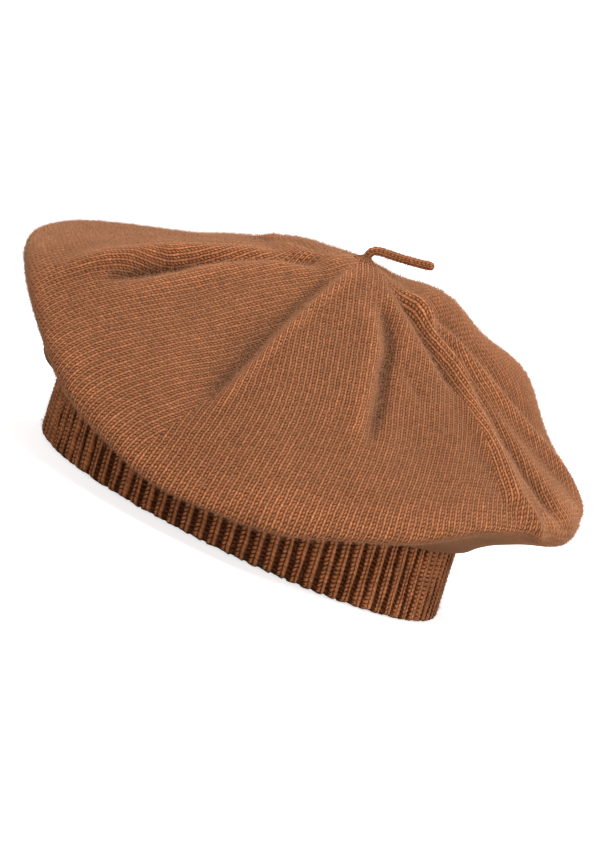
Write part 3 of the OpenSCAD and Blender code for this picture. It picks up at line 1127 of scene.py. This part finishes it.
def build_tacks(yarn):
    """Small stitches under the centre that hold the closing ring to the gores."""
    loops = []
    t = np.linspace(0, 1, 10)
    rad = 4.4 + 2.6 * t
    for i in range(8):
        a = 2 * math.pi * (i + 0.5) / 8 + 0.12 * (t - 0.5)
        path = np.stack([rad * np.cos(a), rad * np.sin(a), 123.2 - 0.5 * np.sin(np.pi * t)], axis=1)
        loops.append(tube("tack", path, 0.28, 8, yarn))
    fit(join(loops, "tack_stitch_yarn"), "seam_yarn", "crown", "tack_stitches")


# ---- stage ----

def build_camera():
    """Long lens, 8 degrees above the band, rolled so that the hat leans to the right in the picture."""
    elevation = math.radians(8.0)
    roll = math.radians(25.8)
    distance = 5.0
    look = Vector((0, math.cos(elevation), -math.sin(elevation)))
    level = Vector((1, 0, 0))
    rise = level.cross(look)
    right = level * math.cos(roll) + rise * math.sin(roll)
    up = rise * math.cos(roll) - level * math.sin(roll)
    target = right * (26.6 * MM) + up * (38.9 * MM)
    where = target - look * distance
    data = bpy.data.cameras.new("camera")
    data.sensor_fit = "VERTICAL"
    data.sensor_height = 36
    data.lens = 36 * distance / (VIEW_H * MM)
    data.clip_end = 20
    cam = add_object("camera", data)
    basis = Matrix((right, up, -look)).transposed().to_4x4()
    cam.matrix_world = Matrix.Translation(where) @ basis
    bpy.context.scene.camera = cam


def area_light(name, where, size, power):
    """Soft square light aimed at the middle of the hat."""
    data = bpy.data.lights.new(name, "AREA")
    data.energy = power
    data.size = size
    obj = add_object(name, data)
    obj.location = where
    obj.rotation_euler = (Vector((0, 0, 0.06)) - Vector(where)).to_track_quat("-Z", "Y").to_euler()


def floor_material():
    """White matt floor, seen only from above so that the opening can be looked at from below."""
    n = Nodes("floor_white")
    diffuse = n.new("BsdfDiffuse")
    path = n.new("LightPath")
    seen = path.outputs["Is Camera Ray"]
    grain = n.noise(n.place(), 3.0, 2.0)
    n.link(n.mix(seen, (0.45, 0.45, 0.45, 1), n.mix(grain, (0.90, 0.90, 0.90, 1), (0.93, 0.93, 0.93, 1))),
           diffuse.inputs["Color"])
    clear = n.new("BsdfTransparent")
    geo = n.new("NewGeometry")
    mix = n.new("MixShader")
    glow = n.new("Emission")
    n.link(n.mul(seen, 0.75), glow.inputs[1])
    lit = n.new("AddShader")
    n.link(diffuse.outputs[0], lit.inputs[0])
    n.link(glow.outputs[0], lit.inputs[1])
    n.link(geo.outputs["Backfacing"], mix.inputs[0])
    n.link(lit.outputs[0], mix.inputs[1])
    n.link(clear.outputs[0], mix.inputs[2])
    n.link(mix.outputs[0], n.out.inputs[0])
    return n.material


def build_stage():
    """Floor just under the band, a white surround and three soft lights."""
    size = 6.0
    mesh = bpy.data.meshes.new("floor")
    corners = [(-size, -size), (size, -size), (size, size), (-size, size)]
    mesh.from_pydata([(x, y, -0.0004) for x, y in corners], [], [(0, 1, 2, 3)])
    mesh.materials.append(floor_material())
    add_object("floor", mesh)
    world = bpy.data.worlds.new("studio")
    world.use_nodes = True
    back = world.node_tree.nodes["Background"]
    back.inputs[0].default_value = (1, 1, 1, 1)
    path = world.node_tree.nodes.new("ShaderNodeLightPath")
    level = world.node_tree.nodes.new("ShaderNodeMapRange")
    level.inputs["To Min"].default_value = 0.42
    level.inputs["To Max"].default_value = 1.0
    world.node_tree.links.new(path.outputs["Is Camera Ray"], level.inputs["Value"])
    world.node_tree.links.new(level.outputs[0], back.inputs[1])
    bpy.context.scene.world = world
    area_light("key", (0.65, -1.2, 1.9), 1.0, 42)
    area_light("top", (-0.5, 0.8, 1.7), 1.6, 12)
    area_light("front", (0.4, -2.4, 0.25), 1.2, 14)
    bpy.context.scene.view_settings.view_transform = "Standard"


def build():
    """Everything, piece by piece."""
    crown_knit = stockinette("crown_stockinette", 0.001)
    cord_knit = stockinette("cord_stockinette", 0.0004)
    rib = rib_knit("band_rib")
    yarn = plied_yarn("seam_plied_yarn")
    elastic = elastic_yarn("covered_elastic")
    tape = woven_tape("label_woven_tape")
    fuzz = loose_fibre("wool_fibre")
    build_crown(crown_knit, yarn, fuzz)
    build_band(rib, fuzz)
    build_band_yarns(yarn, elastic)
    build_centre(crown_knit)
    build_stalk(cord_knit, yarn, fuzz)
    build_label("care_label", 26, 24, 0, tape)
    build_label("size_label", 12, 12, SIZE_LABEL_TURN, tape)
    build_label_stitches(yarn)
    build_tacks(yarn)
    build_stage()
    build_camera()


build()
